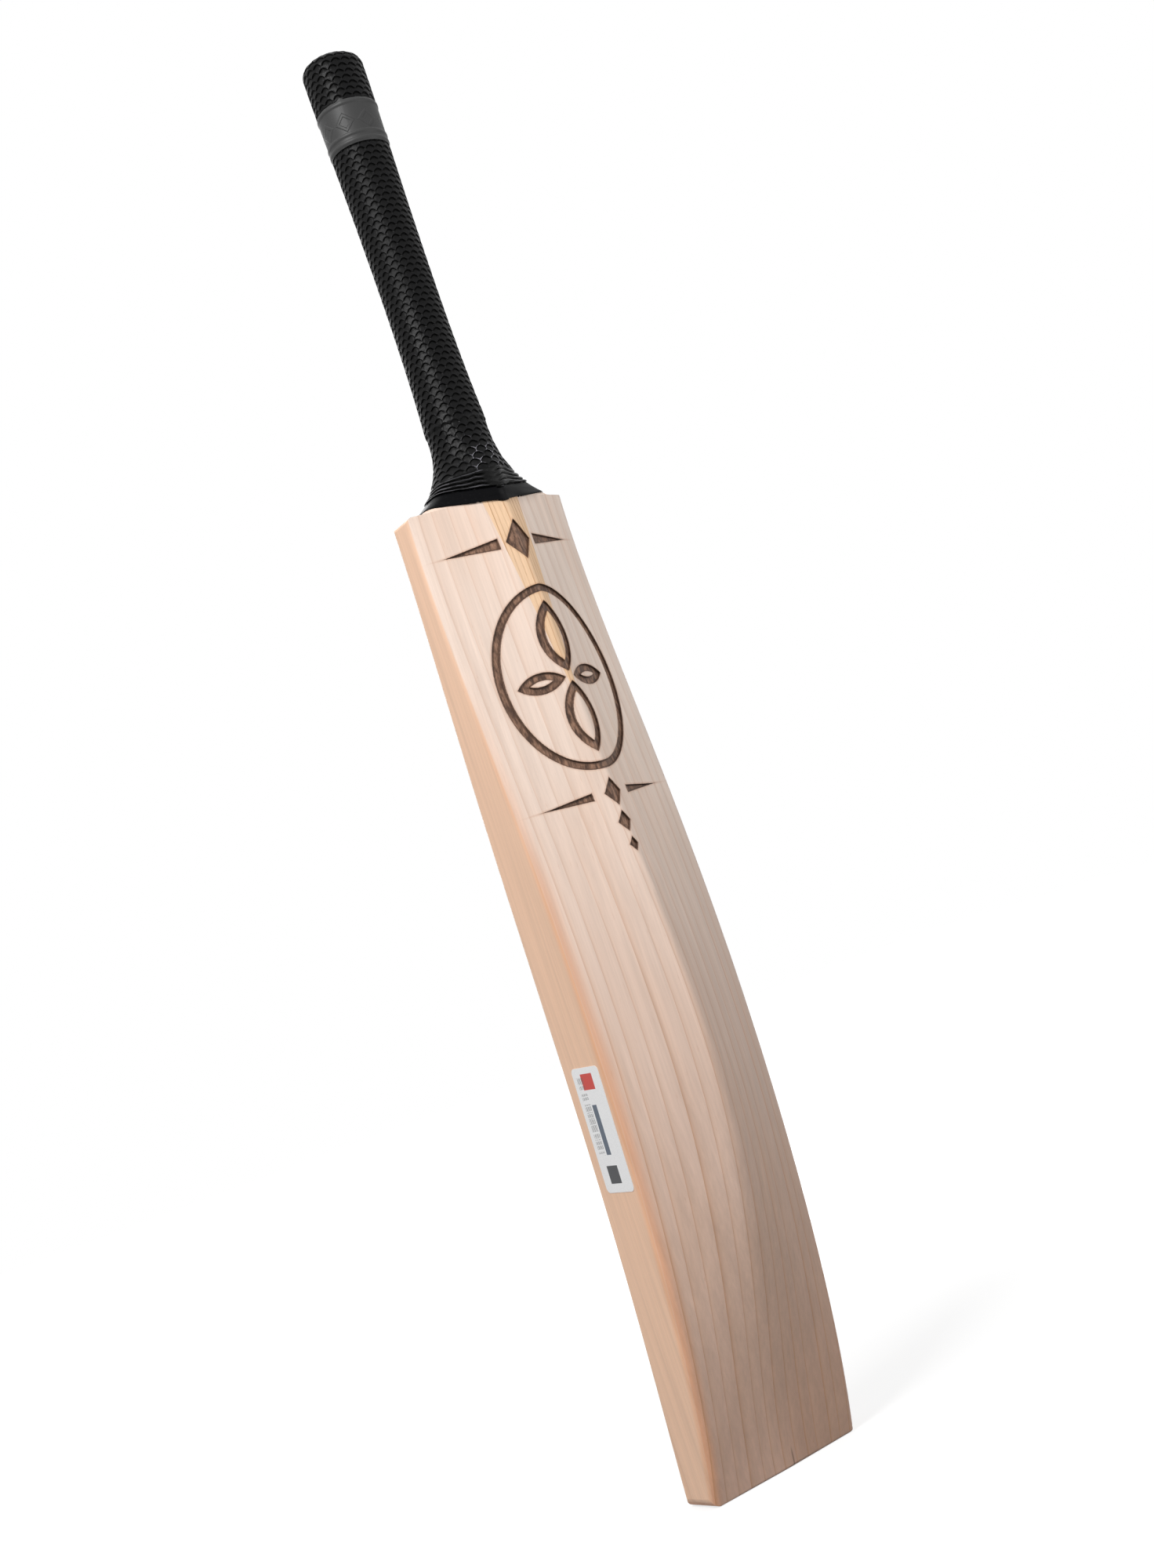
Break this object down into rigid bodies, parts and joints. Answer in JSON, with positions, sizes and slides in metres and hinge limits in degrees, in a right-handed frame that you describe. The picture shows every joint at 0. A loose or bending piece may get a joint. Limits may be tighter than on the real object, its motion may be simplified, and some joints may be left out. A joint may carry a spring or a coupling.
{
  "type": "cricket bat",
  "caption": "Full-size willow cricket bat with a V-spliced laminated cane handle, scaled rubber grip and an engraved back.",
  "frame": {"origin": "middle of the toe's flat end, where the bat stands", "axes": "+Z from the toe along the handle, +Y from the hitting face to the spine, +X to the edge with the label"},
  "size_m": [0.1082, 0.0876, 0.8444],
  "materials": {
    "willow": "bare sanded willow with straight grain",
    "cane": "bare cane with fine vessel lines",
    "spring_rubber": "matt sheet rubber",
    "twine": "waxed twine, close wound",
    "grip_rubber": "black rubber moulded in overlapping scales",
    "band_rubber": "smooth satin dark grey rubber",
    "hem_rubber": "black rubber in glossy wrinkles",
    "tape": "smooth black tape",
    "label": "satin white label film"
  },
  "bodies": {
    "root": {"blade": "willow", "cane_1_1": "cane", "cane_1_2": "cane", "cane_1_3": "cane", "cane_2_1": "cane", "cane_2_2": "cane", "cane_2_3": "cane", "cane_3_1": "cane", "cane_3_2": "cane", "cane_3_3": "cane", "cane_4_1": "cane", "cane_4_2": "cane", "cane_4_3": "cane", "spring_front": "spring_rubber", "spring_middle": "spring_rubber", "spring_back": "spring_rubber", "binding_twine": "twine", "grip": "grip_rubber", "grip_band": "band_rubber", "grip_hem": "hem_rubber", "neck_tape": "tape", "edge_label": "label"}
  },
  "joints": []
}
